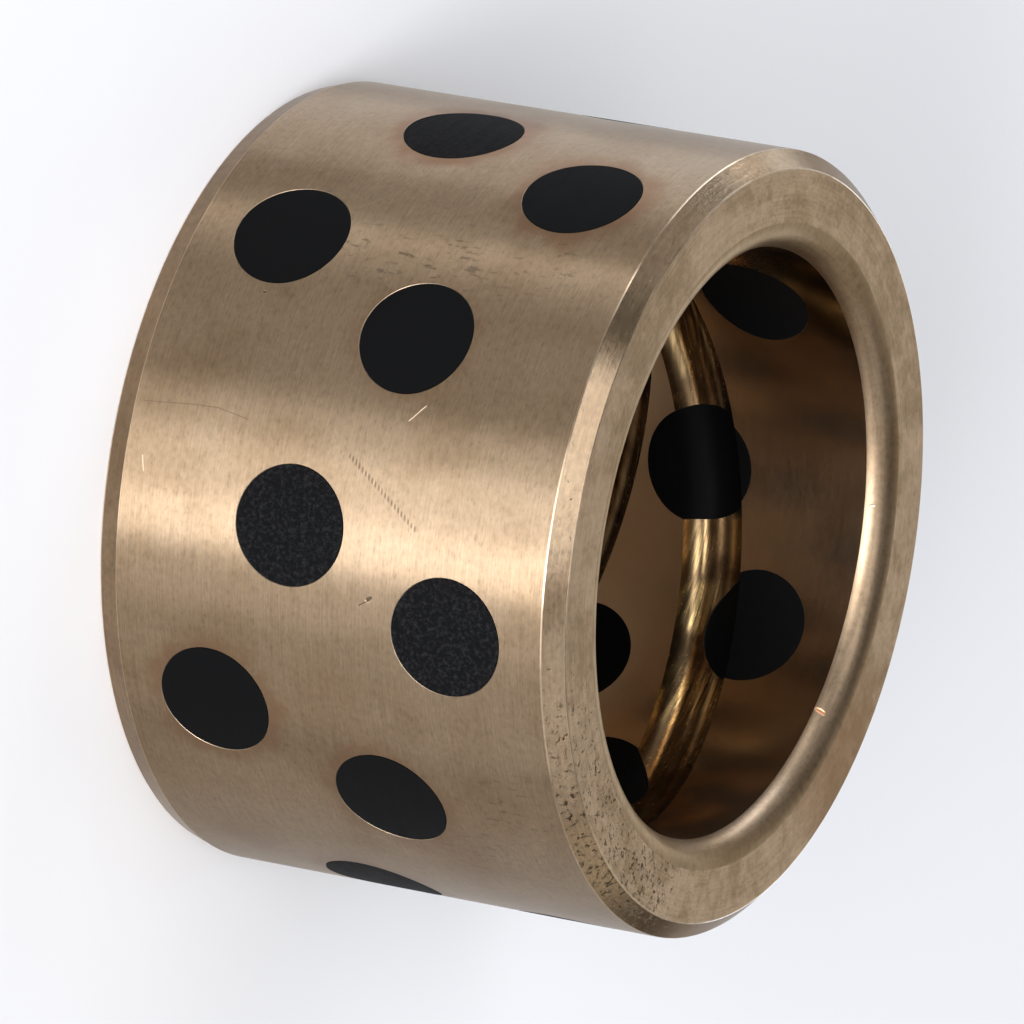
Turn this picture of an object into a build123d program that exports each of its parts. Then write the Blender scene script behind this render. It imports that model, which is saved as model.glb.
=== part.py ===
from build123d import *
import os
from math import cos, radians, sin, sqrt

# Solid-lubricant bushing: a turned bronze sleeve with graphite plugs glued through its wall.
# The axis is +Z, the origin is the centre of the end face that is pressed in first, and the
# sleeve stands on that face. Lengths are in millimetres and angles in degrees.

# Sleeve
OUTSIDE_D = 80.0
WALL = 10.0                  # bronze between the housing and the shaft, which leaves a 60 mm bore
LENGTH = 52.0
TOP_CHAMFER = 1.8            # 45 degrees, on the end that the press pushes on
PRESS_LEAD_AXIAL = 2.2       # long shallow lead that starts the sleeve into its housing
PRESS_LEAD_RADIAL = 0.7
EDGE_BREAK = 0.25            # knocks off the corners of the chamfer and the lead
MOUTH_RADIUS = 2.8           # rounding at both mouths of the bore
MOUTH_DEPTH = 2.3            # how far the rounding reaches down the bore

# Graphite plugs, in rings round the axis
PLUG_D = 12.0
PLUG_GLUE_LINE = 0.02        # clearance all round a plug, filled by the adhesive
PLUGS_PER_RING = 5
RING_PITCH = 9.0
RING_ANGLES = (29.0, 0.0, 42.2, 12.2)   # the first plug of each ring, from the pressed-in end up

# Grease groove in the bore, a figure eight that crosses itself once at mid-length
GROOVE_TOOL_RADIUS = 3.5     # round-nosed tool
GROOVE_DEPTH = 2.5
GROOVE_END_LAND = 8.5        # bore left whole between the groove and each end face
GROOVE_TURN_ANGLE = 24.0     # the last part of each half turn, where the groove swings round
GROOVE_CROSSING_ANGLE = 327.0
GROOVE_SPANS = 5             # each pass is cut in this many sweeps, with the crossing inside one
SPAN_STATIONS = 4            # intervals between the points that guide one sweep

OUTSIDE_R = OUTSIDE_D / 2
BORE_R = OUTSIDE_R - WALL
PLUG_R = PLUG_D / 2
MIDDLE_Z = LENGTH / 2
FIRST_RING_Z = MIDDLE_Z - RING_PITCH * (len(RING_ANGLES) - 1) / 2


def turned_sleeve():
    """The sleeve as it leaves the lathe: its half section swept round the axis."""
    mouth_r = BORE_R + sqrt(MOUTH_RADIUS**2 - (MOUTH_RADIUS - MOUTH_DEPTH)**2)
    with BuildPart() as sleeve:
        with BuildSketch(Plane.XZ) as section:
            with BuildLine():
                base = Line((mouth_r, 0), (OUTSIDE_R - PRESS_LEAD_RADIAL, 0))
                lead = Line(base @ 1, (OUTSIDE_R, PRESS_LEAD_AXIAL))
                outside = Line(lead @ 1, (OUTSIDE_R, LENGTH - TOP_CHAMFER))
                chamfer = Line(outside @ 1, (OUTSIDE_R - TOP_CHAMFER, LENGTH))
                top = Line(chamfer @ 1, (mouth_r, LENGTH))
                mouth = RadiusArc(top @ 1, (BORE_R, LENGTH - MOUTH_DEPTH), -MOUTH_RADIUS)
                bore = Line(mouth @ 1, (BORE_R, MOUTH_DEPTH))
                RadiusArc(bore @ 1, base @ 0, -MOUTH_RADIUS)
            make_face()
            outer_corners = section.vertices().sort_by(Axis.X)[-4:]
            fillet(outer_corners, EDGE_BREAK)
        revolve(axis=Axis.Z)
    return sleeve.part


def plug_places():
    """The name, height and angle of every plug."""
    for ring, start in enumerate(RING_ANGLES):
        for place in range(PLUGS_PER_RING):
            name = f"graphite_plug_{ring + 1}_{place + 1}"
            yield name, FIRST_RING_Z + RING_PITCH * ring, start + 360 * place / PLUGS_PER_RING


def radial_cylinder(radius, height, angle):
    """A cylinder on a radial axis, from inside the bore to outside the sleeve."""
    start = BORE_R / 2
    outward = Vector(1, 0, 0).rotate(Axis.Z, angle)
    seat = Plane(origin=outward * start + Vector(0, 0, height), z_dir=outward)
    return seat * Cylinder(radius, OUTSIDE_R + radius - start, align=(Align.CENTER, Align.CENTER, Align.MIN))


def groove_rise(turn):
    """How far the groove's centre line is from mid-length, at a turn away from the crossing.

    It climbs evenly, then swings round in a parabola that is level half a turn away.
    """
    half_width = sqrt(GROOVE_TOOL_RADIUS**2 - (GROOVE_TOOL_RADIUS - GROOVE_DEPTH)**2)
    reach = MIDDLE_Z - GROOVE_END_LAND - half_width
    slope = reach / (180 - GROOVE_TURN_ANGLE / 2)
    past_straight = max(abs(turn) - 180 + GROOVE_TURN_ANGLE, 0)
    rise = slope * (abs(turn) - past_straight**2 / (2 * GROOVE_TURN_ANGLE))
    return rise if turn > 0 else -rise


def groove_point(turn, hand):
    """Where the centre of the tool's nose is, on the pass that climbs with (1) or against (-1) the turn."""
    radius = BORE_R + GROOVE_DEPTH - GROOVE_TOOL_RADIUS
    angle = radians(GROOVE_CROSSING_ANGLE + turn)
    return Vector(radius * cos(angle), radius * sin(angle), MIDDLE_Z + hand * groove_rise(turn))


def groove_heading(turn, hand):
    """Which way the tool travels at a turn: a short chord about it, level at the ends of a pass."""
    step = 0.01
    chord = groove_point(turn + step, hand) - groove_point(turn - step, hand)
    level = abs(turn) > 180 - step
    return Vector(chord.X, chord.Y, 0 if level else chord.Z).normalized()


def groove_cuts():
    """The tool's swept nose, span by span, along both passes of the groove."""
    span_turn = 360 / GROOVE_SPANS
    cuts = []
    for hand in (1, -1):
        for span in range(GROOVE_SPANS):
            turns = [span_turn * (span + station / SPAN_STATIONS) - 180 for station in range(SPAN_STATIONS + 1)]
            headings = [groove_heading(turn, hand) for turn in (turns[0], turns[-1])]
            path = Spline(*[groove_point(turn, hand) for turn in turns], tangents=headings)
            nose = Plane(origin=path @ 0, z_dir=path % 0) * Circle(GROOVE_TOOL_RADIUS)
            cuts.append(sweep(nose, path=path))
    return cuts


def drilled_and_grooved_sleeve(blank, cuts):
    """The sleeve with a hole for every plug, and with the groove cut after the holes."""
    sleeve = blank
    for _, height, angle in plug_places():
        sleeve -= radial_cylinder(PLUG_R + PLUG_GLUE_LINE, height, angle)
    for cut in cuts:
        sleeve -= cut
    return sleeve


def finished_plug(blank, cuts, height, angle):
    """A plug turned flush with the sleeve inside and out, and grooved with it."""
    plug = radial_cylinder(PLUG_R, height, angle) & blank
    for cut in cuts:
        plug -= cut
    return plug


os.makedirs("parts", exist_ok=True)
turned_blank = turned_sleeve()
tool_cuts = groove_cuts()
export_step(drilled_and_grooved_sleeve(turned_blank, tool_cuts), "parts/bronze_sleeve.step")
for plug_name, plug_height, plug_angle in plug_places():
    export_step(finished_plug(turned_blank, tool_cuts, plug_height, plug_angle), f"parts/{plug_name}.step")
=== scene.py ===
"""Dresses the graphite plugged bushing: a turned bronze sleeve, its lubricant plugs and a plain studio.

Sizes are in millimetres and angles in degrees, unless a name says otherwise. Meshes are stored in metres.
The bushing's axis is +Z and its pressed-in end face lies on the floor.
"""
import logging
import math
from collections.abc import Iterator, Mapping, Sequence
from dataclasses import dataclass, field
from enum import Enum
from itertools import product
from typing import Any, Union

import bmesh
import bpy
import numpy as np
from mathutils import Matrix, Vector


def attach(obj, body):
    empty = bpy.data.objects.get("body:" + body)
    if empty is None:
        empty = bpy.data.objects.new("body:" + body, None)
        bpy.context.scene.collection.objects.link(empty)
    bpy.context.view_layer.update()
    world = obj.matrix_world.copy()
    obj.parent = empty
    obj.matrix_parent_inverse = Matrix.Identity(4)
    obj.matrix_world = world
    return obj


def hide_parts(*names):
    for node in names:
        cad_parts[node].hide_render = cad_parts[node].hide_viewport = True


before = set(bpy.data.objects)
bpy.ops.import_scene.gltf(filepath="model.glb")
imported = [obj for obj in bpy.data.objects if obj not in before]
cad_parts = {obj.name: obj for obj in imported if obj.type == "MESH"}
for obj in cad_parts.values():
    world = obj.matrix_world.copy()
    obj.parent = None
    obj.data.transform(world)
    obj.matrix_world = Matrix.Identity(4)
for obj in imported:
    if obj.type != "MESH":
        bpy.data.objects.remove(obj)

LOG = logging.getLogger("bushing")
METRES = 0.001
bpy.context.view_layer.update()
LENGTH = 52.0
BATCH = 4000  # points that are worked on at once, so that the arrays stay small
ARC_STAND_OFF = 0.35  # how far a round stroke may be from its chord, as a share of its radius
ARC_SLACK = 0.02  # and how far in millimetres beyond that
RULED_OUT = 1.0  # what is added to the distance of a stroke that a face can't belong to
LAMP_POWER = 4.0  # watts to a square metre of an area lamp, for each unit of radiance

# How far from the axis the marks on each surface are
BORE_RADIUS = 30.0
DENT_RADIUS = 30.25
GROOVE_RADIUS = 32.3
FACE_RADIUS = 34.5
WALL_RADIUS = 40.0

# How strongly marks show
SPOT_CORE = 0.45  # how much of a round spot has its whole strength
SCRATCH_CORE = 0.3  # how much of a scratch's width has its whole strength
SCUFF_STRENGTH = 0.6  # how far scuffs take on their own colour
MARK_STRENGTH = 0.8  # how far scratches and pits take on theirs
MARK_ROUGHNESS = 0.6  # how strong the finer layers of drawn-out marks are
MARK_WEIGHT = 1.4  # how much the turning marks count in the colour, where grain and peel count 1

# From which to which value of its pattern a mark comes in
CLOUD_BAND = (0.40, 0.66)
FLECK_BAND = (0.42, 0.30)
PORE_BAND = (0.05, -0.05)
SCUFF_BAND = (0.57, 0.66)
RIB_BAND = (0.25, 0.70)
STROKE_BAND = (0.40, 0.60)
TORN_BAND = (0.48, 0.60)
FLAKE_BAND = (0.44, 0.72)

Colour = tuple[float, float, float]
Point = tuple[float, float]
Value = Union["Field", float, Sequence[float]]


class Finish(Enum):
    """The surfaces of the sleeve that are finished in their own way. The value is the material's slot."""

    WALL = 0
    LEAD = 1
    CHAMFER = 2
    END = 3
    MOUTH = 4
    BORE = 5
    GROOVE = 6
    HOLE = 7
    RIM = 8
    EDGE = 9


class Lay(Enum):
    """Which way the feed of the turning tool ran, and so what the marks are spaced along."""

    ALONG_AXIS = "along the axis"
    ALONG_RADIUS = "along the radius"


# Shading: sockets that can be added and multiplied, and the sheet of nodes that they stand on


class Field:
    """A value that changes over a surface: one output of a node, on which arithmetic adds Math nodes."""

    def __init__(self, sheet: "Sheet", socket: bpy.types.NodeSocket) -> None:
        """Keeps the socket and the sheet that it stands on."""
        self.sheet = sheet
        self.socket = socket

    def math(self, operation: str, *operands: Value) -> "Field":
        """Adds one Math node, given Blender's name of the operation and the inputs in order."""
        return self.sheet.node("ShaderNodeMath", {"operation": operation}, dict(enumerate(operands)))

    def __add__(self, other: Value) -> "Field":
        """The sum."""
        return self.math("ADD", self, other)

    def __radd__(self, other: Value) -> "Field":
        """The sum, with a number on the left."""
        return self.math("ADD", other, self)

    def __sub__(self, other: Value) -> "Field":
        """The difference."""
        return self.math("SUBTRACT", self, other)

    def __rsub__(self, other: Value) -> "Field":
        """The difference from a number on the left."""
        return self.math("SUBTRACT", other, self)

    def __mul__(self, other: Value) -> "Field":
        """The product."""
        return self.math("MULTIPLY", self, other)

    def __rmul__(self, other: Value) -> "Field":
        """The product, with a number on the left."""
        return self.math("MULTIPLY", other, self)

    def __truediv__(self, other: Value) -> "Field":
        """The quotient."""
        return self.math("DIVIDE", self, other)

    def __rtruediv__(self, other: Value) -> "Field":
        """A number on the left divided by this."""
        return self.math("DIVIDE", other, self)

    def __pow__(self, other: Value) -> "Field":
        """This to a power."""
        return self.math("POWER", self, other)

    def __rpow__(self, other: Value) -> "Field":
        """A number on the left to this power."""
        return self.math("POWER", other, self)

    def beside(self, output: int | str) -> "Field":
        """Another output of the same node."""
        return Field(self.sheet, Sheet.find_socket(self.socket.node.outputs, output))

    def least(self, other: Value) -> "Field":
        """The lesser of two values."""
        return self.math("MINIMUM", self, other)

    def most(self, other: Value) -> "Field":
        """The greater of two values."""
        return self.math("MAXIMUM", self, other)

    def sine(self) -> "Field":
        """The sine of an angle in radians."""
        return self.math("SINE", self)

    def ease(self, low: float, high: float) -> "Field":
        """Goes smoothly from 0 to 1 as this passes from low to high.

        Args:
            low: where it is 0.
            high: where it is 1; it may be less than low.

        Returns:
            The eased value.
        """
        falls = low > high
        span = {"From Min": min(low, high), "From Max": max(low, high)}
        ends = {"To Min": float(falls), "To Max": float(not falls)}
        settings = {"interpolation_type": "SMOOTHSTEP", "clamp": True}
        return self.sheet.node("ShaderNodeMapRange", settings, {"Value": self, **span, **ends})


class Sheet:
    """The nodes of one material, and the only way that a node is put among them."""

    def __init__(self, name: str) -> None:
        """Starts an empty material.

        Args:
            name: the material's name.
        """
        self.material = bpy.data.materials.new(name)
        self.material.use_nodes = True
        self.tree = self.material.node_tree
        self.tree.nodes.clear()

    def node(
        self,
        kind: str,
        settings: Mapping[str, Any] | None = None,
        inputs: Mapping[int | str, Value] | None = None,
        output: int | str | None = 0,
    ) -> Field | None:
        """Adds any node.

        Args:
            kind: Blender's name of the node's type.
            settings: the node's own settings, which are set first.
            inputs: a number, a colour, a vector or a field for each socket, by its place or its name.
            output: which output is wanted, or None from a node that has none.

        Returns:
            That output as a field.
        """
        made = self.tree.nodes.new(kind)
        for key, setting in (settings or {}).items():
            setattr(made, key, setting)
        for key, value in (inputs or {}).items():
            socket = self.find_socket(made.inputs, key)
            if isinstance(value, Field):
                self.tree.links.new(value.socket, socket)
            else:
                socket.default_value = self._filled(socket, value)
        return None if output is None else Field(self, self.find_socket(made.outputs, output))

    @staticmethod
    def find_socket(sockets: Sequence[bpy.types.NodeSocket], key: int | str) -> bpy.types.NodeSocket:
        """Finds a socket by its place, or by its identifier or else its name."""
        named = None if isinstance(key, int) else next((s for s in sockets if s.identifier == key), None)
        return named or sockets[key]

    @staticmethod
    def _filled(socket: bpy.types.NodeSocket, value: float | Sequence[float]) -> float | Sequence[float]:
        """A value as a socket takes it, so that a colour gets its alpha."""
        return (*value, 1.0) if socket.type == "RGBA" and len(value) == 3 else value

    def mix(self, amount: Value, before: Value, after: Value) -> Field:
        """Blends two colours: an amount of 0 gives the first and 1 the second."""
        inputs = {"Factor_Float": amount, "A_Color": before, "B_Color": after}
        return self.node("ShaderNodeMix", {"data_type": "RGBA"}, inputs, "Result_Color")

    def vector(self, operation: str, *operands: Value, output: int | str = 0) -> Field:
        """Adds one Vector Math node; its output is "Value" where the result is a number."""
        return self.node("ShaderNodeVectorMath", {"operation": operation}, dict(enumerate(operands)), output)

    def pack(self, x: Value, y: Value, z: Value) -> Field:
        """Three values as one vector."""
        return self.node("ShaderNodeCombineXYZ", None, {"X": x, "Y": y, "Z": z})

    def noise(self, place: Field, scale: float, detail: float = 2.0, roughness: float = 0.5) -> Field:
        """Soft random values about one half: features to a unit, finer layers, and how strong those are."""
        inputs = {"Vector": place, "Scale": scale, "Detail": detail, "Roughness": roughness}
        return self.node("ShaderNodeTexNoise", None, inputs)

    def specks(self, place: Field, scale: float, size: float, share: float) -> Field:
        """Small round spots, one at most to a cell.

        Args:
            place: where the value is wanted.
            scale: cells to a unit of place.
            size: the radius of a spot as a share of a cell.
            share: how many of the cells have a spot.

        Returns:
            1 inside a spot and 0 outside.
        """
        inputs = {"Vector": place, "Scale": scale, "Randomness": 1.0}
        near = self.node("ShaderNodeTexVoronoi", {"feature": "F1"}, inputs, "Distance")
        lot = self.node("ShaderNodeSeparateColor", None, {"Color": near.beside("Color")}, "Red")
        chosen = lot.math("LESS_THAN", lot, share)
        return near.ease(size, size * SPOT_CORE) * chosen

    def solid(
        self, shader: str, inputs: Mapping[int | str, Value], height: Field | None = None
    ) -> bpy.types.Material:
        """Ends the material with one shader.

        Args:
            shader: Blender's name of the shader's type.
            inputs: its sockets.
            height: the relief in millimetres, if the surface has one.

        Returns:
            The material.
        """
        inputs = dict(inputs)
        if height is not None:
            bump = {"Strength": 1.0, "Distance": METRES, "Height": height}
            inputs["Normal"] = self.node("ShaderNodeBump", None, bump)
        self.node("ShaderNodeOutputMaterial", None, {"Surface": self.node(shader, None, inputs)}, None)
        return self.material


def on_wall(angle: float, height: float, radius: float) -> tuple[float, float, float]:
    """The spot at an angle and a height on a wall of some radius."""
    turn = math.radians(angle)
    return radius * math.cos(turn), radius * math.sin(turn), height


class TurnedPlace:
    """Where a point of the bushing is, in millimetres and as a turner would say it."""

    def __init__(self, sheet: Sheet, lay: Lay) -> None:
        """Adds the nodes that work it out.

        Args:
            sheet: the material's sheet.
            lay: what the tool marks are spaced along.
        """
        self.sheet = sheet
        metres = sheet.node("ShaderNodeTexCoord", None, None, "Object")
        self.point = sheet.vector("MULTIPLY", metres, (1 / METRES,) * 3)
        self.x = sheet.node("ShaderNodeSeparateXYZ", None, {0: self.point}, "X")
        self.y, self.z = self.x.beside("Y"), self.x.beside("Z")
        self.radius = (self.x * self.x + self.y * self.y) ** 0.5
        self.east = self.x / self.radius
        self.north = self.y / self.radius
        self.along = self.z if lay is Lay.ALONG_AXIS else self.radius

    def streaks(self, length: float, pitch: float, detail: float = 3.0) -> Field:
        """Random marks that run round the axis.

        Args:
            length: how long a mark is at the wall, roughly.
            pitch: how far apart they are.
            detail: finer layers.

        Returns:
            Values about one half.
        """
        turn = WALL_RADIUS / length
        place = self.sheet.pack(self.east * turn, self.north * turn, self.along / pitch)
        return self.sheet.noise(place, 1.0, detail, MARK_ROUGHNESS)

    def across(self, length: float, pitch: float) -> Field:
        """Random marks that run along the axis, of a rough length and pitch."""
        place = self.sheet.pack(self.x / pitch, self.y / pitch, self.z / length)
        return self.sheet.noise(place, 1.0, detail=3.0, roughness=MARK_ROUGHNESS)

    def near_wall(self, angle: float, height: float, radius: float) -> Field:
        """The distance in millimetres from a spot on a wall of some radius."""
        return self.sheet.vector("DISTANCE", self.point, on_wall(angle, height, radius), output="Value")


# Finishes


@dataclass(frozen=True)
class Patch:
    """A ragged patch on a wall, such as the brown stain that the heat of drilling left round a plug."""

    angle: float
    height: float
    reach: float  # how far it fades beyond its core
    strength: float
    core: float = 6.0  # how far out it is whole
    ragged: float = 5.0  # how far its edge wanders
    radius: float = WALL_RADIUS

    def amount(self, place: TurnedPlace, ragged: Field) -> Field:
        """How strong the patch is at a place: whole within its core, and ragged outside."""
        distance = place.near_wall(self.angle, self.height, self.radius) + (ragged - 0.5) * self.ragged
        return distance.ease(self.core + self.reach, self.core) * self.strength


@dataclass(frozen=True)
class Scratch:
    """A straight scratch on the wall, between two spots given as angle and height."""

    start: Point
    end: Point
    width: float
    depth: float
    shade: Colour = (0.10, 0.065, 0.04)
    rib_pitch: float = 0.0
    radius: float = WALL_RADIUS

    def amount(self, place: TurnedPlace) -> Field:
        """How much of the scratch is at a place.

        Args:
            place: the place.

        Returns:
            1 along the middle of the scratch, 0 away from it, and less between the ribs of a chattered one.
        """
        sheet = place.sheet
        first, last = (Vector(on_wall(turn, height, self.radius)) for turn, height in (self.start, self.end))
        way = last - first
        ahead = tuple(way.normalized())
        from_first = sheet.vector("SUBTRACT", place.point, tuple(first))
        along = sheet.vector("DOT_PRODUCT", from_first, ahead, output="Value")
        held = along.most(0.0).least(way.length)
        foot = sheet.vector("MULTIPLY", sheet.pack(held, held, held), ahead)
        off = sheet.vector("DISTANCE", from_first, foot, output="Value")
        mark = off.ease(self.width, self.width * SCRATCH_CORE)
        if self.rib_pitch:
            ribs = (place.z * (2 * math.pi / self.rib_pitch)).sine() * 0.5 + 0.5
            mark = mark * ribs.ease(*RIB_BAND)
        return mark


@dataclass(frozen=True)
class Texture:
    """What gives a bronze surface its look, as values over the surface."""

    marks: Field  # the fine marks of the turning tool
    grain: Field  # short flecks along them
    peel: Field  # soft unevenness
    pores: Field  # casting pits
    ragged: Field  # what makes the edges of patches ragged
    scuffs: Field | None  # where something rubbed along the axis
    scores: tuple[tuple[Scratch, Field], ...]


@dataclass(frozen=True)
class TurnedBronze:
    """Cast tin bronze that was turned: fine marks round the axis, a little peel, pits and blotches."""

    name: str
    lay: Lay = Lay.ALONG_AXIS
    colour: Colour = (0.280, 0.199, 0.123)
    worn: Colour = (0.216, 0.144, 0.081)
    roughness: float = 0.34
    roughness_change: float = 0.06
    stretch: float = 1.0  # how far highlights run out across the marks
    mark_pitch: float = 0.16
    mark_length: float = 6.0
    mark_height: float = 0.0008
    fleck_length: float = 0.7
    fleck_width: float = 0.24
    fleck_height: float = 0.0008
    flecks: float = 0.10  # how much darker they are
    peel_pitch: float = 0.75
    peel_height: float = 0.0042
    grain: float = 0.36  # how much the texture changes the colour
    pore_level: float = 0.21  # the higher it is, the more pits there are
    pore_size: float = 0.42
    pore_depth: float = 0.02
    pore_colour: Colour = (0.035, 0.023, 0.014)
    cloud_size: float = 11.0
    blotches: float = 0.6  # how much of the worn colour shows in the clouds
    glancing: Colour = (1.0, 1.0, 1.0)  # how bright the metal stays at a glancing angle
    raggedness: float = 0.35  # how many bays and points to a millimetre of a patch's edge
    halos: tuple[Patch, ...] = ()
    halo_colour: Colour = (0.195, 0.104, 0.053)
    porous: tuple[Patch, ...] = ()
    porosity: float = 0.175  # how much a porous patch raises the level of the pits
    scuffed: tuple[Patch, ...] = ()
    scuff_length: float = 1.8
    scuff_pitch: float = 0.55
    scuff_colour: Colour = (0.075, 0.055, 0.038)
    scratches: tuple[Scratch, ...] = ()

    def make(self) -> bpy.types.Material:
        """Makes the material.

        Returns:
            The material, with its relief in millimetres.
        """
        sheet = Sheet(self.name)
        place = TurnedPlace(sheet, self.lay)
        ragged = sheet.noise(place.point, self.raggedness, detail=3.0)
        level = self.pore_level
        for patch in self.porous:
            level = patch.amount(place, ragged) * self.porosity + level
        pores = sheet.noise(place.point, 1 / self.pore_size, detail=5.0, roughness=0.7) - level
        scuffs = None
        if self.scuffed:
            rubbed_and_painted_light = sum((patch.amount(place, ragged) for patch in self.scuffed), 0.0)
            scuffs = place.across(self.scuff_length, self.scuff_pitch).ease(*SCUFF_BAND) * rubbed_and_painted_light
        look = Texture(
            marks=place.streaks(self.mark_length, self.mark_pitch),
            grain=place.streaks(self.fleck_length, self.fleck_width, detail=2.0),
            peel=sheet.noise(place.point, 1 / self.peel_pitch, detail=2.0, roughness=0.55),
            pores=pores.ease(*PORE_BAND),
            ragged=ragged,
            scuffs=scuffs,
            scores=tuple((scratch, scratch.amount(place)) for scratch in self.scratches),
        )
        rough = self.roughness + (look.grain + look.marks - 1.0) * self.roughness_change
        shine = {
            "Base Color": self.tint(place, look),
            "Metallic": 1.0,
            "Roughness": rough,
            "Specular Tint": self.glancing,
            "Anisotropic": self.stretch,
            "Anisotropic Rotation": 0.25,  # a quarter turn, so that highlights run out across the marks
        }
        return sheet.solid("ShaderNodeBsdfPrincipled", shine, self.relief(place, look))

    def tint(self, place: TurnedPlace, look: Texture) -> Field:
        """The metal's colour over the surface.

        Args:
            place: where the point is.
            look: the surface's texture.

        Returns:
            The colour.
        """
        sheet = place.sheet
        cloud = sheet.noise(place.point, 1 / self.cloud_size, detail=5.0, roughness=0.62)
        colour = sheet.mix(cloud.ease(*CLOUD_BAND) * self.blotches, self.colour, self.worn)
        mean = (2.0 + MARK_WEIGHT) / 2
        fine = (look.grain + look.marks * MARK_WEIGHT + look.peel - mean) * self.grain
        light = fine + 1.0 - look.grain.ease(*FLECK_BAND) * self.flecks
        colour = sheet.vector("MULTIPLY", colour, sheet.pack(light, light, light))
        for halo in self.halos:
            colour = sheet.mix(halo.amount(place, look.ragged), colour, self.halo_colour)
        if look.scuffs is not None:
            colour = sheet.mix(look.scuffs * SCUFF_STRENGTH, colour, self.scuff_colour)
        for scratch, score in look.scores:
            colour = sheet.mix(score * MARK_STRENGTH, colour, scratch.shade)
        return sheet.mix(look.pores * MARK_STRENGTH, colour, self.pore_colour)

    def relief(self, place: TurnedPlace, look: Texture) -> Field:
        """The height of the surface.

        Args:
            place: where the point is.
            look: the surface's texture.

        Returns:
            Millimetres.
        """
        height = look.marks * self.mark_height + look.peel * self.peel_height
        height = height + look.grain * self.fleck_height - look.pores * self.pore_depth
        for scratch, score in look.scores:
            height = height - score * scratch.depth
        return height


@dataclass(frozen=True)
class PaintedLightBoreBronze(TurnedBronze):
    """The bore's surface, made lighter away from its ends by painted light, and darkened near its front mouth
    by patches of painted shade.
    """

    # Painted light: the bore turns to this lighter bronze away from its ends, standing in for light that
    # reaches deep into the bore.
    rubbed_and_painted_light: Colour = (0.92, 0.67, 0.43)
    painted_light_margin: float = 7.0  # how far in from each end no painted light is added
    fade: float = 12.0  # how far the painted light takes to come in fully
    length: float = LENGTH
    patchiness: float = 0.4  # how uneven the painted light is
    # Painted shade: dark patches near the front mouth, standing in for the reflection of dark surroundings.
    painted_shade_colour: Colour = (0.06, 0.045, 0.03)
    painted_shade_patches: tuple[Patch, ...] = ()

    def tint(self, place: TurnedPlace, look: Texture) -> Field:
        """The metal's colour, with its band of painted light and its patches of painted shade.

        Args:
            place: where the point is.
            look: the surface's texture.

        Returns:
            The colour.
        """
        mix = place.sheet.mix
        from_end = place.z.least(self.length - place.z)
        patchy = look.ragged * self.patchiness + (1 - self.patchiness)
        amount = from_end.ease(self.painted_light_margin, self.painted_light_margin + self.fade) * patchy
        # Painted light: lighter bronze away from the ends.
        colour = mix(amount, super().tint(place, look), self.rubbed_and_painted_light)
        # Painted shade near the front mouth.
        for patch in self.painted_shade_patches:
            colour = mix(patch.amount(place, look.ragged), colour, self.painted_shade_colour)
        return colour


@dataclass(frozen=True)
class GroovedBronze(TurnedBronze):
    """The groove's surface: bare golden metal in the strokes of the tool that tore it, and dark between."""

    gold: Colour = (0.78, 0.54, 0.23)
    stroke_pitch: float = 0.34
    stroke_length: float = 9.0
    stroke_height: float = 0.030
    calm: float = 0.15  # how much of the strokes' height is left where the metal isn't torn
    bare: float = 0.95  # how much of the gold shows in a torn stroke
    torn_size: float = 7.0
    torn_elsewhere: float = 0.35
    torn_at: tuple[Patch, ...] = ()

    def tint(self, place: TurnedPlace, look: Texture) -> Field:
        """The metal's colour, with its golden patches."""
        amount = self.torn(place, look) * self.strokes(place).ease(*STROKE_BAND) * self.bare
        return place.sheet.mix(amount, super().tint(place, look), self.gold)

    def torn(self, place: TurnedPlace, look: Texture) -> Field:
        """Where the tool tore the metal.

        Args:
            place: where the point is.
            look: the surface's texture.

        Returns:
            1 at most in the known places, and less elsewhere.
        """
        amount = place.sheet.noise(place.point, 1 / self.torn_size).ease(*TORN_BAND) * self.torn_elsewhere
        for patch in self.torn_at:
            amount = amount.most(patch.amount(place, look.ragged))
        return amount

    def strokes(self, place: TurnedPlace) -> Field:
        """The strokes of the tool, as values about one half."""
        return place.streaks(self.stroke_length, self.stroke_pitch, detail=2.0)

    def relief(self, place: TurnedPlace, look: Texture) -> Field:
        """The height of the groove's surface, with its strokes."""
        depth = (self.torn(place, look) * (1 - self.calm) + self.calm) * self.stroke_height
        return super().relief(place, look) + self.strokes(place) * depth


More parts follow.
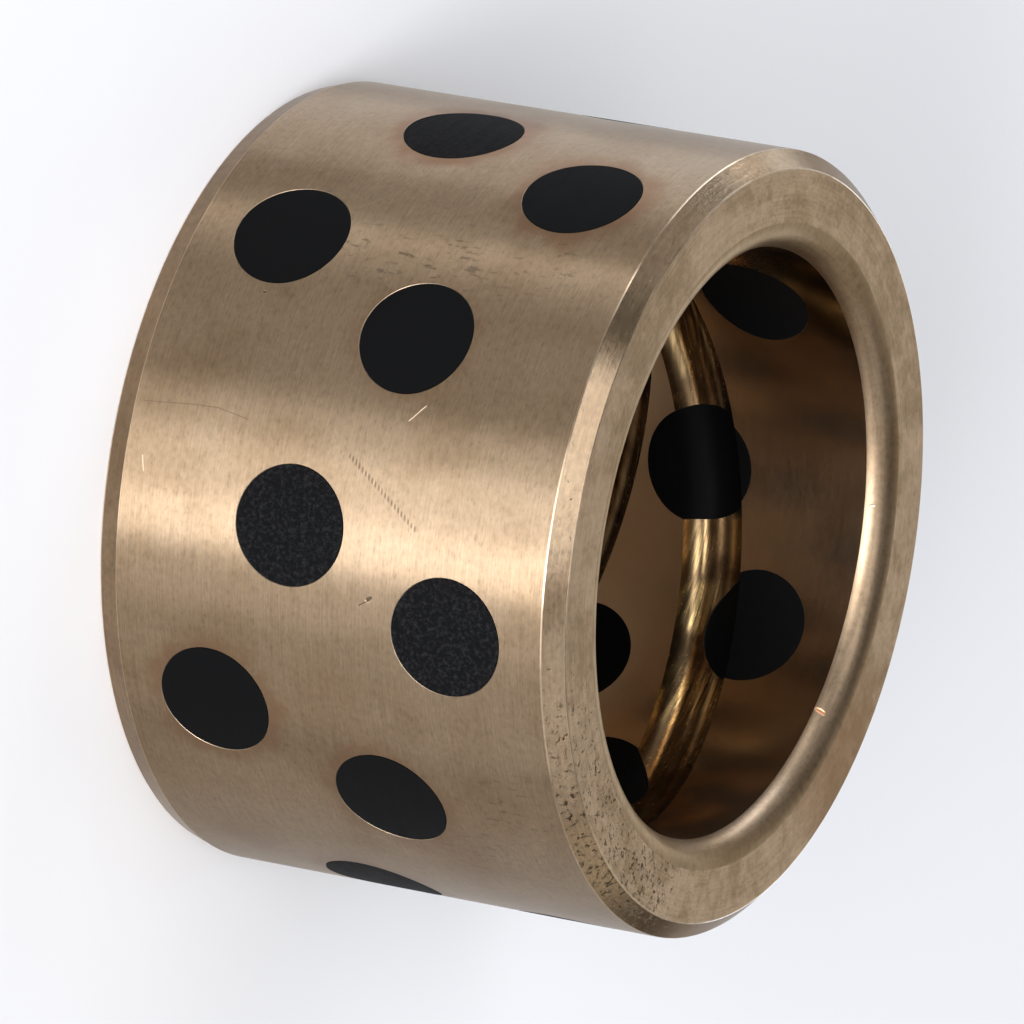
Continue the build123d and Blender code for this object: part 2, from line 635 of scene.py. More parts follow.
@dataclass(frozen=True)
class Graphite:
    """Pressed graphite, rubbed flush: near black, with open grains where it has not been burnished."""

    name: str
    colour: Colour = (0.0022, 0.0022, 0.0022)
    grain_colour: Colour = (0.013, 0.0125, 0.013)
    grain_share: float = 0.0  # 0 where it is burnished, 1 where its grain is open
    grain_size: float = 0.45
    grain_height: float = 0.006
    open_height: float = 0.03  # what an open grain adds to that
    pit_colour: Colour = (0.003, 0.003, 0.003)
    pit_pitch: float = 0.7
    pit_size: float = 0.22
    pit_share: float = 0.25
    pit_depth: float = 0.06
    smear_length: float = 6.0
    smear_pitch: float = 0.5
    roughness: float = 0.55
    smear_change: float = 0.2
    flake_change: float = 0.15
    gloss: float = 0.04

    def make(self) -> bpy.types.Material:
        """Makes the material.

        Returns:
            The material, with its relief in millimetres.
        """
        sheet = Sheet(self.name)
        place = TurnedPlace(sheet, Lay.ALONG_AXIS)
        grain = sheet.noise(place.point, 1 / self.grain_size, detail=5.0, roughness=0.75)
        flakes = grain.ease(*FLAKE_BAND) * self.grain_share
        pits = sheet.specks(place.point, 1 / self.pit_pitch, self.pit_size, self.pit_share * self.grain_share)
        smear = place.streaks(self.smear_length, self.smear_pitch)
        colour = sheet.mix(pits, sheet.mix(flakes, self.colour, self.grain_colour), self.pit_colour)
        rough = self.roughness + (smear - 0.5) * self.smear_change + flakes * self.flake_change
        height = grain * (self.grain_height + self.open_height * self.grain_share) - pits * self.pit_depth
        inputs = {"Base Color": colour, "Roughness": rough, "Specular IOR Level": self.gloss}
        return sheet.solid("ShaderNodeBsdfPrincipled", inputs, height)


@dataclass(frozen=True)
class Matt:
    """A plain matt finish for the studio's floor."""

    name: str
    colour: Colour

    def make(self) -> bpy.types.Material:
        """Makes the material."""
        sheet = Sheet(self.name)
        return sheet.solid("ShaderNodeBsdfDiffuse", {"Color": self.colour})


# The marks on the sleeve, each at an angle and a height, and then its finishes

# What shows in a scratch
BARE_METAL = (0.45, 0.34, 0.23)
FAINT_LINE = (0.165, 0.112, 0.067)
CHATTERED = (0.12, 0.08, 0.05)
FRESH_DENT = (0.55, 0.22, 0.10)

# Brown from the heat of drilling, round the plugs and in clouds between them
HALOS = (
    Patch(0.0, 21.5, 3.2, 0.95, 5.8),
    Patch(12.2, 39.5, 3.2, 0.80, 5.8),
    Patch(42.2, 30.5, 2.6, 0.30, 5.6),
    Patch(101.0, 12.5, 2.8, 0.60, 5.8),
    Patch(114.2, 30.5, 3.2, 0.55, 5.8),
    Patch(144.0, 21.5, 3.2, 0.60, 5.8),
    Patch(112.0, 42.0, 6.0, 0.28, 0.5),
    Patch(128.0, 36.0, 6.0, 0.30, 0.5),
    Patch(96.0, 25.0, 6.0, 0.22, 0.5),
    Patch(132.0, 9.0, 5.0, 0.25, 0.5),
)

# The same on the end face
FACE_HALOS = (
    Patch(203.0, 52.0, 8.0, 0.42, 2.0, radius=FACE_RADIUS),
    Patch(217.0, 52.0, 8.0, 0.42, 2.0, radius=FACE_RADIUS),
)

# One that chattered, two bare ones, a faint line in three runs, and small nicks
SCRATCHES = (
    Scratch((60.8, 27.1), (69.5, 35.5), 0.36, 0.010, CHATTERED, rib_pitch=0.42),
    Scratch((54.6, 32.6), (52.1, 34.0), 0.12, 0.02, BARE_METAL),
    Scratch((65.8, 4.15), (67.9, 4.5), 0.09, 0.01, BARE_METAL),
    Scratch((58.1, 3.1), (57.4, 9.0), 0.08, 0.002, FAINT_LINE),
    Scratch((57.4, 9.0), (57.3, 11.5), 0.08, 0.002, FAINT_LINE),
    Scratch((57.3, 11.5), (58.2, 15.0), 0.08, 0.002, FAINT_LINE),
    Scratch((80.3, 31.1), (80.6, 30.8), 0.28, 0.06),
    Scratch((80.5, 31.0), (81.7, 29.8), 0.10, 0.02),
    Scratch((39.26, 12.5), (39.3, 12.6), 0.22, 0.05),
)

# Nicks at the front mouth of the bore
DENTS = (
    Scratch((213.7, 49.8), (213.3, 50.8), 0.35, 0.10, FRESH_DENT, radius=DENT_RADIUS),
    Scratch((255.7, 50.2), (255.8, 50.6), 0.18, 0.03, BARE_METAL, radius=DENT_RADIUS),
)

# Where something rubbed over the wall along the axis
SCUFFED = (
    Patch(29.0, 22.0, 4.0, 0.85, 2.0),
    Patch(30.0, 30.0, 4.0, 1.0, 2.5),
    Patch(28.5, 40.0, 4.0, 0.9, 2.0),
    Patch(112.0, 45.0, 5.0, 0.7, 2.0),
    Patch(124.0, 39.0, 5.0, 0.6, 2.0),
    Patch(138.0, 14.0, 4.0, 0.5, 1.0),
)

# Where the groove's tool tore the metal
TORN = (
    Patch(241.0, 29.6, 1.8, 0.55, 1.8, 2.0, GROOVE_RADIUS),
    Patch(231.0, 31.9, 1.6, 1.0, 1.8, 2.0, GROOVE_RADIUS),
    Patch(212.0, 32.8, 2.0, 0.6, 2.6, 2.0, GROOVE_RADIUS),
    Patch(214.5, 35.5, 1.6, 0.8, 1.8, 2.0, GROOVE_RADIUS),
    Patch(283.0, 28.5, 2.0, 0.5, 1.5, 2.0, GROOVE_RADIUS),
)

# Where the casting has more pits, at the front end
POROUS = (
    Patch(118.0, 51.0, 22.0, 1.0),
    Patch(75.0, 51.0, 16.0, 0.4),
    Patch(152.0, 51.0, 14.0, 0.5),
)

# Painted shade in the front of the bore: dark patches that stand in for the reflection of dark surroundings
BORE_PAINTED_SHADE = (
    Patch(301.0, 51.0, 3.0, 0.86, 5.0, 1.0, BORE_RADIUS),
    Patch(316.0, 51.0, 3.0, 0.70, 5.5, 1.0, BORE_RADIUS),
    Patch(331.0, 51.0, 3.0, 0.60, 4.5, 1.0, BORE_RADIUS),
    Patch(250.0, 51.0, 5.0, 0.45, 3.5, 1.0, BORE_RADIUS),
)

FINISHES = {
    Finish.WALL: TurnedBronze("bronze_wall", halos=HALOS, scuffed=SCUFFED, scratches=SCRATCHES),
    # Painted shade: the lead chamfer is a darker copy of the wall's bronze, standing in for the shade near
    # the floor that it reflects.
    Finish.LEAD: TurnedBronze(
        "bronze_lead_painted_shade",
        colour=(0.24, 0.168, 0.103),
        worn=(0.17, 0.114, 0.065),
        roughness=0.32,
        stretch=0.5,
    ),
    Finish.CHAMFER: TurnedBronze(
        "bronze_chamfer",
        colour=(0.356, 0.256, 0.160),
        worn=(0.272, 0.184, 0.109),
        glancing=(0.60, 0.57, 0.54),
        roughness=0.25,
        stretch=0.6,
        pore_level=0.245,
        pore_size=0.7,
        porous=POROUS,
        peel_height=0.006,
    ),
    Finish.END: TurnedBronze(
        "bronze_end",
        lay=Lay.ALONG_RADIUS,
        roughness=0.44,
        stretch=0.2,
        colour=(0.385, 0.279, 0.183),
        worn=(0.252, 0.176, 0.107),
        glancing=(0.48, 0.44, 0.40),
        pore_level=0.245,
        pore_size=0.55,
        porous=POROUS,
        mark_pitch=0.30,
        mark_length=12.0,
        mark_height=0.0014,
        cloud_size=4.5,
        blotches=0.8,
        halos=FACE_HALOS,
        grain=0.42,
        peel_height=0.008,
    ),
    Finish.MOUTH: TurnedBronze(
        "bronze_mouth",
        colour=(0.270, 0.192, 0.120),
        roughness=0.42,
        stretch=0.0,
        mark_height=0.0004,
        glancing=(0.45, 0.42, 0.39),
        scratches=DENTS,
    ),
    # The bore, lighter deeper in by painted light, with painted shade near its front mouth.
    Finish.BORE: PaintedLightBoreBronze(
        "bronze_bore",
        colour=(0.62, 0.44, 0.27),
        worn=(0.52, 0.36, 0.21),
        glancing=(0.62, 0.56, 0.50),
        roughness=0.20,
        stretch=0.3,
        peel_height=0.001,
        grain=0.12,
        flecks=0.0,
        painted_shade_patches=BORE_PAINTED_SHADE,
    ),
    Finish.GROOVE: GroovedBronze(
        "bronze_groove",
        colour=(0.28, 0.182, 0.090),
        worn=(0.098, 0.055, 0.026),
        roughness=0.26,
        stretch=0.3,
        cloud_size=6.0,
        blotches=1.0,
        torn_at=TORN,
    ),
    Finish.HOLE: TurnedBronze("bronze_hole", roughness=0.5, stretch=0.0),
    Finish.RIM: TurnedBronze(
        "bronze_rim",
        colour=(0.40, 0.305, 0.205),
        worn=(0.22, 0.155, 0.10),
        roughness=0.5,
        stretch=0.0,
        blotches=1.0,
    ),
    # Painted highlight: the eased edges are a lighter bronze than the surfaces beside them, so a thin bright
    # line shows along them.
    Finish.EDGE: TurnedBronze(
        "bronze_edge_painted_highlight",
        colour=(0.46, 0.345, 0.225),
        worn=(0.33, 0.23, 0.145),
        roughness=0.3,
    ),
}


# Shapes


@dataclass(frozen=True)
class Stroke:
    """One straight or round stroke of the sleeve's half section; its points are (radius, height)."""

    start: Point
    end: Point
    finish: Finish
    centre: Point | None = None
    steps: int = 1

    def points(self) -> list[Point]:
        """The stroke's points as (radius, height), without its last one.

        Returns:
            As many points as the stroke has steps.
        """
        if self.centre is None:
            shares = [step / self.steps for step in range(self.steps)]
            return [tuple(a + (b - a) * share for a, b in zip(self.start, self.end)) for share in shares]
        cx, cz = self.centre
        radius = math.dist(self.start, self.centre)
        first = math.atan2(self.start[1] - cz, self.start[0] - cx)
        sweep = math.remainder(math.atan2(self.end[1] - cz, self.end[0] - cx) - first, 2 * math.pi)
        turns = [first + sweep * step / self.steps for step in range(self.steps)]
        return [(cx + radius * math.cos(turn), cz + radius * math.sin(turn)) for turn in turns]

    def normals(self, radius: np.ndarray, height: np.ndarray) -> tuple[np.ndarray, np.ndarray]:
        """Which way the surface faces.

        Args:
            radius: the points' radii.
            height: their heights.

        Returns:
            The outward and the upward parts of the normals.
        """
        if self.centre is None:
            run = np.subtract(self.end, self.start)
            out, up = run[1], -run[0]
            size = math.hypot(out, up)
            return np.full_like(radius, out / size), np.full_like(radius, up / size)
        out, up = radius - self.centre[0], height - self.centre[1]
        size = np.hypot(out, up)
        return out / size, up / size


def eased_corner(before: Point, corner: Point, after: Point, radius: float) -> tuple[Point, Point, Point]:
    """Rounds a corner of the half section.

    Args:
        before: a point on the line into the corner.
        corner: the corner.
        after: a point on the line out of it.
        radius: the rounding's radius.

    Returns:
        Where the rounding starts, where it ends, and its centre.
    """
    into = Vector(before) - Vector(corner)
    out = Vector(after) - Vector(corner)
    into.normalize()
    out.normalize()
    half = into.angle(out) / 2
    reach = radius / math.tan(half)
    centre = Vector(corner) + (into + out).normalized() * (radius / math.sin(half))
    return tuple(Vector(corner) + into * reach), tuple(Vector(corner) + out * reach), tuple(centre)


@dataclass(frozen=True)
class Plug:
    """Where one graphite plug is. Rings count from the pressed-in end up."""

    ring: int
    place: int
    angle: float
    height: float

    @property
    def node(self) -> str:
        """The name of its solid."""
        return f"graphite_plug_{self.ring}_{self.place}"

    @property
    def axes(self) -> tuple[Vector, Vector]:
        """The way out through the wall, and the way round it."""
        turn = math.radians(self.angle)
        return Vector((math.cos(turn), math.sin(turn), 0)), Vector((-math.sin(turn), math.cos(turn), 0))


@dataclass
class Plugs:
    """The graphite plugs: four rings of five, dressed where they stand."""

    diameter: float = 12.0
    per_ring: int = 5
    ring_pitch: float = 9.0
    first_height: float = 12.5
    ring_angles: tuple[float, ...] = (29.0, 0.0, 42.2, 12.2)
    open_grained: tuple[tuple[int, int], ...] = ((2, 1), (2, 2), (2, 3), (4, 2), (1, 4), (3, 5))

    def places(self) -> Iterator[Plug]:
        """Every plug in turn.

        Yields:
            The plug's place.
        """
        for ring, first in enumerate(self.ring_angles, 1):
            for place in range(self.per_ring):
                angle = first + 360 * place / self.per_ring
                yield Plug(ring, place + 1, angle, self.first_height + self.ring_pitch * (ring - 1))

    def dress(self) -> list[bpy.types.Object]:
        """Gives each plug its graphite.

        Returns:
            The plugs.
        """
        burnished = Graphite("graphite_burnished").make()
        grained = Graphite("graphite_open_grain", grain_share=1.0, roughness=0.62).make()
        dressed = []
        for plug in self.places():
            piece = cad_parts[plug.node]
            material = grained if (plug.ring, plug.place) in self.open_grained else burnished
            for slot in piece.material_slots:
                slot.material = material
            dressed.append(piece)
        return dressed


@dataclass
class GreaseGroove:
    """The figure-eight groove in the bore, cut by a round-nosed tool in two passes round the bore."""

    bore_radius: float = BORE_RADIUS
    middle: float = LENGTH / 2
    tool_radius: float = 3.5
    depth: float = 2.5
    end_land: float = 8.5
    turn_angle: float = 24.0
    crossing_angle: float = 327.0
    ridge_turn: float = 9.0  # where the ridge is, as a turn of the nose from straight out
    ridge_width: float = 16.0
    ridge_height: float = 0.28
    stations: int = 180
    nose_sweep: float = 84.0  # how far round the nose cuts to each side
    nose_steps: int = 56

    def rise(self, turn: float) -> float:
        """How far the groove's centre line is from mid-length.

        Args:
            turn: degrees from the crossing, -180 to 180.

        Returns:
            Millimetres: an even climb, and a parabola that is level half a turn away.
        """
        half_width = math.sqrt(self.tool_radius**2 - (self.tool_radius - self.depth) ** 2)
        slope = (self.middle - self.end_land - half_width) / (180 - self.turn_angle / 2)
        past = max(abs(turn) - 180 + self.turn_angle, 0)
        return math.copysign(slope * (abs(turn) - past**2 / (2 * self.turn_angle)), turn)

    def nose(self, turn: np.ndarray) -> tuple[np.ndarray, np.ndarray]:
        """The cut's radius from the middle of the tool's nose, with the low ridge that its two strokes left.

        Args:
            turn: the way from the nose's middle, in radians, where 0 is straight out through the wall.

        Returns:
            The radius, and how fast it changes with the turn.
        """
        width = math.radians(self.ridge_width)
        off = (turn - math.radians(self.ridge_turn)) / width
        ridge = self.ridge_height * np.exp(-(off**2))
        return self.tool_radius - ridge, 2 * off * ridge / width

    def centre_line(self) -> np.ndarray:
        """The path of the middle of the tool's nose, twice round and closed.

        Returns:
            One row to a station.
        """
        radius = self.bore_radius + self.depth - self.tool_radius
        rows = []
        for hand in (1, -1):
            for station in range(self.stations):
                turn = 360 * station / self.stations - 180
                angle = math.radians(self.crossing_angle + turn)
                height = self.middle + hand * self.rise(turn)
                rows.append((radius * math.cos(angle), radius * math.sin(angle), height))
        return np.array(rows)

    @staticmethod
    def directions(line: np.ndarray) -> tuple[np.ndarray, np.ndarray]:
        """The way out through the wall and the way across the groove, at each station.

        Args:
            line: the closed path of the middle of the tool's nose.

        Returns:
            Two directions to a station.
        """
        ahead = np.roll(line, -1, 0) - np.roll(line, 1, 0)
        outward = line * (1, 1, 0)
        across = np.cross(ahead, outward)
        return unit(outward), unit(across)

    def cutter(self) -> bpy.types.Object:
        """The shape that the tool's nose sweeps, flat on the side towards the axis.

        Returns:
            A closed shape that crosses itself once.
        """
        path = self.centre_line()
        outward, across = self.directions(path)
        sweep = math.radians(self.nose_sweep)
        turns = np.linspace(-sweep, sweep, self.nose_steps + 1)
        rings = [
            path + radius * (math.cos(turn) * outward + math.sin(turn) * across)
            for turn, radius in zip(turns, self.nose(turns)[0])
        ]
        points = np.stack(rings, 1)
        faces = grid_faces(*points.shape[:2])
        return solid_from(points.reshape(-1, 3), faces, [Finish.GROOVE] * len(faces), "groove_cutter")

    def normals(self, points: np.ndarray, flat: np.ndarray) -> np.ndarray:
        """The way that the groove's surface faces.

        Args:
            points: points on the surface.
            flat: their faces' own normals, which say to which pass a point belongs.

        Returns:
            One normal to a point.
        """
        line = self.centre_line()
        outward, across = self.directions(line)
        best = flat.copy()
        best_match = np.full(len(points), -np.inf)
        for first in (0, self.stations):
            here = np.arange(first, first + self.stations)
            starts = line[here]
            runs = line[(here + 1) % len(line)] - starts
            lengths = (runs**2).sum(1)
            for begin in range(0, len(points), BATCH):
                some = slice(begin, begin + BATCH)
                gap = points[some, None] - starts[None]
                share = np.clip((gap * runs).sum(2) / lengths, 0, 1)
                foot = starts + share[..., None] * runs
                nearest = np.argmin(((points[some, None] - foot) ** 2).sum(2), 1)
                way = unit(foot[np.arange(len(nearest)), nearest] - points[some])
                out, aside = outward[here[nearest]], across[here[nearest]]
                turn = np.arctan2(-(way * aside).sum(1), -(way * out).sum(1))
                radius, change = self.nose(turn)
                round_way = np.cos(turn)[:, None] * aside - np.sin(turn)[:, None] * out
                facing = unit(way + (change / radius)[:, None] * round_way)
                match = (facing * flat[some]).sum(1)
                better = match > best_match[some]
                best[some][better] = facing[better]
                best_match[some][better] = match[better]
        return best


def unit(rows: np.ndarray) -> np.ndarray:
    """Makes each row one long."""
    return rows / np.linalg.norm(rows, axis=1)[:, None]


def grid_faces(rows: int, width: int) -> list[tuple[int, ...]]:
    """The faces of a grid of points that closes on itself both ways.

    Args:
        rows: how many rows it has.
        width: how many points a row has.

    Returns:
        The places of each face's points, in the order of the points.
    """
    faces = []
    for row, step in product(range(rows), range(width)):
        after, beside = (row + 1) % rows, (step + 1) % width
        corners = ((row, step), (row, beside), (after, beside), (after, step))
        faces.append(tuple(line * width + place for line, place in corners))
    return faces


def solid_from(
    points: np.ndarray, faces: Sequence[Sequence[int]], finishes: Sequence[Finish], name: str
) -> bpy.types.Object:
    """Makes a closed shape with its faces turned outwards.

    Args:
        points: one row to a point, in millimetres.
        faces: the places of each face's points.
        finishes: each face's finish.
        name: the object's name.

    Returns:
        The object, in the scene.
    """
    mesh = bpy.data.meshes.new(name)
    mesh.from_pydata((np.asarray(points) * METRES).tolist(), [], [list(f) for f in faces])
    for kind in Finish:
        mesh.materials.append(stand_in(kind))
    mesh.polygons.foreach_set("material_index", [finish.value for finish in finishes])
    shape = bmesh.new()
    shape.from_mesh(mesh)
    bmesh.ops.recalc_face_normals(shape, faces=shape.faces)
    shape.to_mesh(mesh)
    shape.free()
    made = bpy.data.objects.new(name, mesh)
    bpy.context.scene.collection.objects.link(made)
    return made


def stand_in(kind: Finish) -> bpy.types.Material:
    """An empty material that keeps a finish's place while the shapes are cut."""
    name = f"place_of_{kind.name.lower()}"
    return bpy.data.materials.get(name) or bpy.data.materials.new(name)


def read(items: bpy.types.bpy_prop_collection, name: str, width: int = 1, whole: bool = False) -> np.ndarray:
    """Reads one property of every item of a mesh.

    Args:
        items: the mesh's points, faces or corners.
        name: the property.
        width: how many numbers it has.
        whole: whether they are whole numbers.

    Returns:
        One row to an item, or one number to an item where the width is 1.
    """
    values = np.zeros(len(items) * width, np.int32 if whole else np.float64)
    items.foreach_get(name, values)
    return values.reshape(-1, width) if width > 1 else values


@dataclass
class Sleeve:
    """The bronze sleeve: turned, drilled for its plugs and grooved."""

    outside_radius: float = 39.985
    bore_radius: float = BORE_RADIUS
    length: float = LENGTH
    top_chamfer: float = 1.8
    lead_axial: float = 2.2
    lead_radial: float = 0.7
    edge_break: float = 0.25
    mouth_radius: float = 2.8
    mouth_depth: float = 2.3
    glue_line: float = 0.02
    rim_width: float = 0.08
    drill_overrun: float = 3.0
    divisions: int = 360
    edge_steps: int = 5
    mouth_steps: int = 18
    hole_sides: int = 120
    plugs: Plugs = field(default_factory=Plugs)
    groove: GreaseGroove = field(default_factory=GreaseGroove)

    def section(self) -> list[Stroke]:
        """The half section as strokes, from the lower mouth of the bore outwards, up, in and down.

        Returns:
            A closed run of strokes.
        """
        top = self.length
        step = self.mouth_radius - self.mouth_depth
        mouth = self.bore_radius + math.sqrt(self.mouth_radius**2 - step**2)
        corners = [
            (self.outside_radius - self.lead_radial, 0.0),
            (self.outside_radius, self.lead_axial),
            (self.outside_radius, top - self.top_chamfer),
            (self.outside_radius - self.top_chamfer, top),
        ]
        run = [(mouth, 0.0), *corners, (mouth, top)]
        finishes = (Finish.END, Finish.LEAD, Finish.WALL, Finish.CHAMFER, Finish.END)
        strokes, here = [], run[0]
        for place, finish in enumerate(finishes[:-1], 1):
            start, end, centre = eased_corner(run[place - 1], run[place], run[place + 1], self.edge_break)
            strokes.append(Stroke(here, start, finish))
            strokes.append(Stroke(start, end, Finish.EDGE, centre, self.edge_steps))
            here = end
        bore = (self.bore_radius, top - self.mouth_depth), (self.bore_radius, self.mouth_depth)
        centres = (mouth, top - self.mouth_radius), (mouth, self.mouth_radius)
        return strokes + [
            Stroke(here, run[-1], Finish.END),
            Stroke(run[-1], bore[0], Finish.MOUTH, centres[0], self.mouth_steps),
            Stroke(*bore, Finish.BORE),
            Stroke(bore[1], run[0], Finish.MOUTH, centres[1], self.mouth_steps),
        ]

    def blank(self, strokes: Sequence[Stroke]) -> bpy.types.Object:
        """The sleeve as it leaves the lathe.

        Args:
            strokes: the half section.

        Returns:
            A closed ring.
        """
        rows = [(point, stroke.finish) for stroke in strokes for point in stroke.points()]
        turns = np.arange(self.divisions) * 2 * math.pi / self.divisions
        points = np.array(
            [(r * math.cos(turn), r * math.sin(turn), z) for turn in turns for (r, z), _ in rows]
        )
        finishes = [finish for _, finish in rows] * self.divisions
        return solid_from(points, grid_faces(self.divisions, len(rows)), finishes, "sleeve_blank")

    def hole_cutter(self) -> bpy.types.Object:
        """The drill for every hole, with a small even countersink where it comes out of the outer wall.

        Returns:
            One shape with a closed body to each hole.
        """
        points, faces, finishes = [], [], []
        radius = self.plugs.diameter / 2 + self.glue_line
        wide = radius + self.rim_width
        levels = (
            (radius, self.bore_radius, -self.drill_overrun),
            (radius, self.outside_radius, -self.rim_width),
            (wide, self.outside_radius, 0.0),
            (wide, self.outside_radius, self.drill_overrun),
        )
        sides = range(self.hole_sides)
        for plug in self.plugs.places():
            out, around = plug.axes
            base = len(points)
            for ring_radius, wall, offset in levels:
                for turn in (2 * math.pi * side / self.hole_sides for side in sides):
                    aside, rise = ring_radius * math.cos(turn), ring_radius * math.sin(turn)
                    reach = math.sqrt(wall**2 - aside**2) + offset
                    points.append(out * reach + around * aside + Vector((0, 0, plug.height + rise)))
            for level, kind in enumerate((Finish.HOLE, Finish.RIM, Finish.RIM)):
                low = base + level * self.hole_sides
                high = low + self.hole_sides
                for side in sides:
                    beside = (side + 1) % self.hole_sides
                    faces.append((low + side, low + beside, high + beside, high + side))
                    finishes.append(kind)
            faces += [tuple(base + side for side in sides), tuple(high + side for side in sides)]
            finishes += [Finish.HOLE] * 2
        return solid_from(np.array(points), faces, finishes, "hole_cutter")

    @staticmethod
    def cut(blank: bpy.types.Object, cutter: bpy.types.Object, crosses_itself: bool) -> None:
        """Cuts one shape out of another, and removes the cutter.

        Args:
            blank: the shape that is cut; it keeps its name.
            cutter: what is taken away.
            crosses_itself: whether the cutter runs through itself.
        """
        boolean = blank.modifiers.new("cut", "BOOLEAN")
        boolean.operation = "DIFFERENCE"
        boolean.solver = "EXACT"
        boolean.object = cutter
        boolean.use_self = crosses_itself
        boolean.material_mode = "INDEX"
        graph = bpy.context.evaluated_depsgraph_get()
        cut_mesh = bpy.data.meshes.new_from_object(blank.evaluated_get(graph))
        blank.modifiers.clear()
        blank.data = cut_mesh
        bpy.data.objects.remove(cutter)

    def build(self) -> bpy.types.Object:
        """Turns, drills and grooves the sleeve.

        Returns:
            The sleeve, standing for its solid.
        """
        strokes = self.section()
        sleeve = self.blank(strokes)
        self.cut(sleeve, self.hole_cutter(), False)
        self.cut(sleeve, self.groove.cutter(), True)
        sleeve.name = "sleeve"
        sleeve.data.name = "sleeve"
        self.smooth(sleeve.data, strokes)
        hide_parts("bronze_sleeve")
        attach(sleeve, "root")
        return sleeve

    def smooth(self, mesh: bpy.types.Mesh, strokes: Sequence[Stroke]) -> None:
        """Gives the surface the normals of the true form, so that reflections run without a break.

        Args:
            mesh: the cut sleeve.
            strokes: the half section.
        """
        kinds = read(mesh.polygons, "material_index", whole=True)
        middles = read(mesh.polygons, "center", 3) / METRES
        owners = np.repeat(np.arange(len(kinds)), read(mesh.polygons, "loop_total", whole=True))
        flat = read(mesh.polygons, "normal", 3)[owners]
        points = read(mesh.vertices, "co", 3)[read(mesh.loops, "vertex_index", whole=True)] / METRES
        normals = flat.copy()
        stroke_of = self.nearest_stroke(middles, strokes)[owners]
        turned = ~np.isin(kinds, (Finish.GROOVE.value, Finish.HOLE.value, Finish.RIM.value))[owners]
        radius = np.hypot(points[:, 0], points[:, 1])
        for place, stroke in enumerate(strokes):
            mine = (stroke_of == place) & turned
            out, up = stroke.normals(radius[mine], points[mine, 2])
            round_about = points[mine, :2] * (out / radius[mine])[:, None]
            normals[mine] = np.column_stack((round_about, up))
        grooved = kinds[owners] == Finish.GROOVE.value
        normals[grooved] = self.groove.normals(points[grooved], flat[grooved])
        mesh.polygons.foreach_set("use_smooth", np.ones(len(kinds), bool))
        mesh.normals_split_custom_set(normals.tolist())

    @staticmethod
    def nearest_stroke(middles: np.ndarray, strokes: Sequence[Stroke]) -> np.ndarray:
        """Which stroke of the half section each face was swept from.

        Args:
            middles: the faces' middles.
            strokes: the half section.

        Returns:
            The stroke's place for each face.
        """
        radius, height = np.hypot(middles[:, 0], middles[:, 1]), middles[:, 2]
        gaps = []
        for stroke in strokes:
            a, b = np.array(stroke.start), np.array(stroke.end)
            run = b - a
            share = np.clip(((radius - a[0]) * run[0] + (height - a[1]) * run[1]) / (run @ run), 0, 1)
            straight = np.hypot(radius - a[0] - share * run[0], height - a[1] - share * run[1])
            if stroke.centre is None:
                gaps.append(straight)
                continue
            size = math.dist(stroke.start, stroke.centre)
            off = np.abs(np.hypot(radius - stroke.centre[0], height - stroke.centre[1]) - size)
            near = straight < ARC_STAND_OFF * size + ARC_SLACK
            gaps.append(np.where(near, off, straight + RULED_OUT))
        return np.argmin(np.array(gaps), 0)

    def dress(self, sleeve: bpy.types.Object) -> None:
        """Gives each surface of the built sleeve its finish."""
        for kind, finish in FINISHES.items():
            sleeve.data.materials[kind.value] = finish.make()


# Studio


@dataclass(frozen=True)
class SoftLamp:
    """A soft panel of light that stands upright and faces the bushing, its distance in metres."""

    name: str
    first: float  # from which angle round the bushing
    last: float  # to which
    radiance: float
    low: float = 3.0  # from which angle over the floor
    high: float = 26.0  # to which
    colour: Colour = (0.96, 1.0, 1.09)
    lean: float = 0.0
    distance: float = 1.6

    def place(self, aim: float) -> None:
        """Sets the lamp up, so that it lights and is reflected, and the camera looks through it.

        Args:
            aim: the height that the lamp's angles are measured from, in metres.
        """
        width = 2 * self.distance * math.tan(math.radians(self.last - self.first) / 2)
        bottom, top = (self.distance * math.tan(math.radians(a)) + aim for a in (self.low, self.high))
        lamp = bpy.data.lights.new(self.name, "AREA")
        lamp.shape = "RECTANGLE"
        lamp.size, lamp.size_y = width, top - bottom
        lamp.energy = LAMP_POWER * self.radiance * width * (top - bottom)
        lamp.color = self.colour
        made = bpy.data.objects.new(self.name, lamp)
        turn = math.radians(self.first + self.last) / 2
        facing = Vector((math.cos(turn), math.sin(turn), 0))
        made.location = facing * self.distance + Vector((0, 0, (bottom + top) / 2))
        leaning = Matrix.Rotation(math.radians(self.lean), 3, "Z")
        made.rotation_euler = (facing.to_track_quat("Z", "Y").to_matrix() @ leaning).to_euler()
        made.visible_camera = False
        bpy.context.scene.collection.objects.link(made)


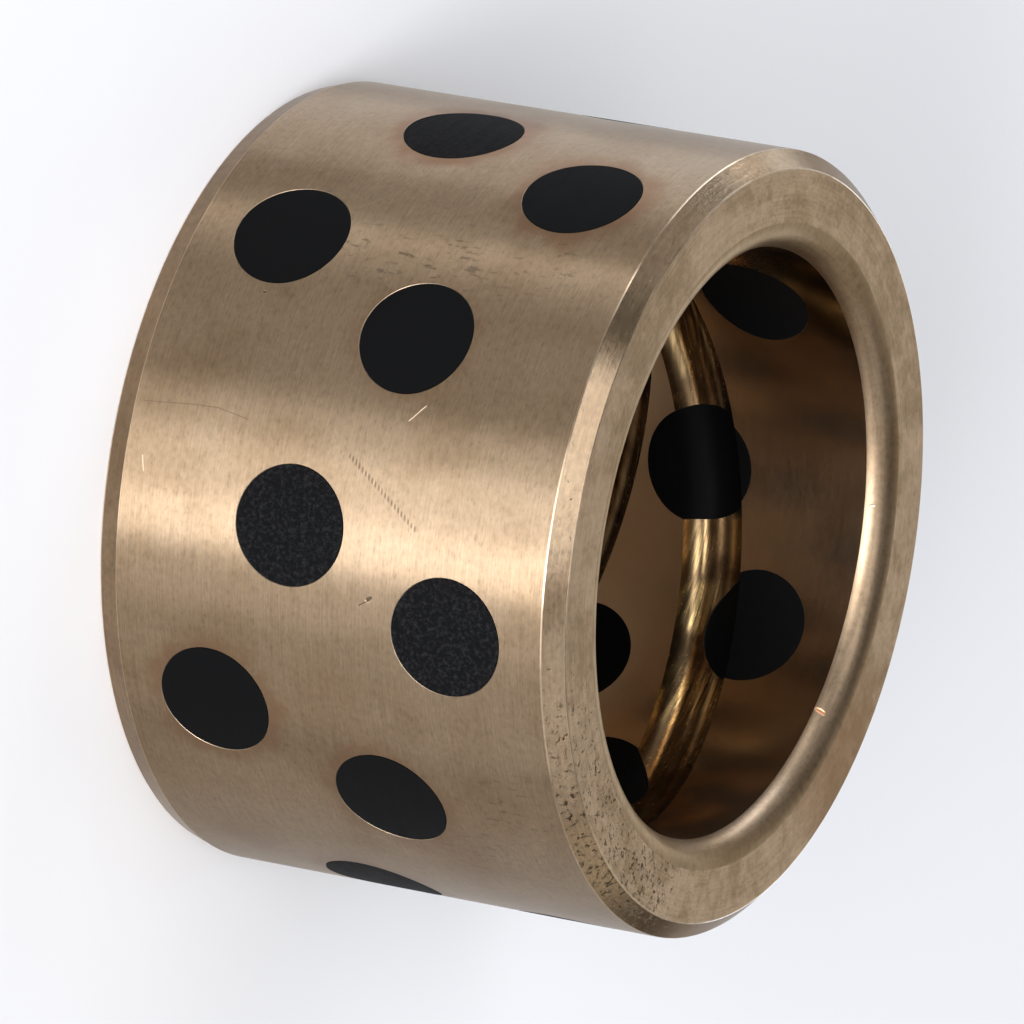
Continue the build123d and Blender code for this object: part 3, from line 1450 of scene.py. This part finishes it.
@dataclass
class Studio:
    """A pale floor in a dim pale room, with soft panels of light round the bushing. Sizes are in metres."""

    floor_radius: float = 6.0
    floor_sides: int = 128
    floor_gap: float = 0.00005
    floor_colour: Colour = (0.810, 0.793, 0.770)
    room_colour: Colour = (1.0, 0.98, 0.95)
    room_light: float = 0.16
    lamps: tuple[SoftLamp, ...] = (
        SoftLamp("key_lamp_dim", 46.2, 58.0, 5.3),
        SoftLamp("key_lamp_middle", 58.0, 75.0, 13.2),
        SoftLamp("key_lamp_bright", 75.0, 88.8, 22.4),
        SoftLamp("key_lamp_spill", 88.8, 106.0, 4.2),
        SoftLamp("right_lamp", 106.0, 140.0, 1.4),
        SoftLamp("strip_lamp", -9.6, -3.0, 6.8, lean=9.0),
        SoftLamp("strip_lamp_dim", -3.0, 6.0, 1.9, lean=7.0),
        SoftLamp("side_lamp", -64.0, -29.5, 7.0, 3.0, 17.0, (0.88, 1.0, 1.24), lean=9.0),
        SoftLamp("side_lamp_dim", -94.0, -64.0, 2.0, 3.0, 11.0, (0.85, 1.0, 1.28)),
        SoftLamp("far_side_lamp", -136.0, -97.0, 4.0, 3.0, 18.0, (0.84, 1.0, 1.28)),
        SoftLamp("back_lamp", 150.0, 298.0, 0.50, 20.0, 50.0, (1.0, 0.96, 0.88)),
        SoftLamp("corner_lamp", -56.0, -12.0, 0.4, 30.0, 46.0),
        SoftLamp("top_lamp", 6.0, 88.0, 3.4, 51.0, 65.0),
        SoftLamp("top_lamp_dim", 88.0, 170.0, 0.9, 40.0, 60.0),
    )

    def build(self) -> None:
        """Sets the studio up."""
        self.floor()
        self.room()
        for lamp in self.lamps:
            lamp.place(LENGTH / 2 * METRES)

    def floor(self) -> None:
        """Lays the round floor."""
        shape = bmesh.new()
        bmesh.ops.create_circle(shape, cap_ends=True, radius=self.floor_radius, segments=self.floor_sides)
        mesh = bpy.data.meshes.new("floor")
        shape.to_mesh(mesh)
        shape.free()
        mesh.materials.append(Matt("floor_paint", self.floor_colour).make())
        made = bpy.data.objects.new("floor", mesh)
        made.location.z = -self.floor_gap
        bpy.context.scene.collection.objects.link(made)

    def room(self) -> None:
        """Lights the room evenly from all round."""
        world = bpy.data.worlds.new("room")
        world.use_nodes = True
        background = world.node_tree.nodes["Background"]
        background.inputs["Color"].default_value = (*self.room_colour, 1.0)
        background.inputs["Strength"].default_value = self.room_light
        bpy.context.scene.world = world


@dataclass
class ViewCamera:
    """A long-lensed camera that looks down into the bore, turned so that the bushing lies on its side."""

    location: tuple[float, float, float] = (491.22793, 994.92564, 597.23044)
    aim: tuple[float, float, float] = (-0.42800, 0.63022, 25.27234)
    up: tuple[float, float, float] = (0.918048, -0.365256, -0.154192)
    lens: float = 434.96
    sensor: float = 36.0
    clip: tuple[float, float] = (0.01, 20.0)

    def place(self) -> None:
        """Sets the camera up and makes it the scene's."""
        camera = bpy.data.cameras.new("camera")
        camera.lens = self.lens
        camera.sensor_width = self.sensor
        camera.clip_start, camera.clip_end = self.clip
        back = (Vector(self.location) - Vector(self.aim)).normalized()
        side = Vector(self.up).cross(back).normalized()
        made = bpy.data.objects.new("camera", camera)
        turned = Matrix((side, back.cross(side), back)).transposed()
        made.matrix_world = Matrix.Translation(Vector(self.location) * METRES) @ turned.to_4x4()
        bpy.context.scene.collection.objects.link(made)
        bpy.context.scene.camera = made


def report(piece: bpy.types.Object) -> None:
    """Says what a piece came to."""
    LOG.info("%s: %d faces", piece.name, len(piece.data.polygons))


def main() -> None:
    """Builds and dresses the bushing, sets up its studio, and logs each piece's face count."""
    logging.basicConfig(level=logging.INFO)
    bpy.context.scene.view_settings.view_transform = "Standard"
    sleeve = Sleeve()
    body = sleeve.build()
    sleeve.dress(body)
    report(body)
    for plug in sleeve.plugs.dress():
        report(plug)
    Studio().build()
    ViewCamera().place()
    bpy.context.view_layer.update()


if __name__ == "__main__":
    main()
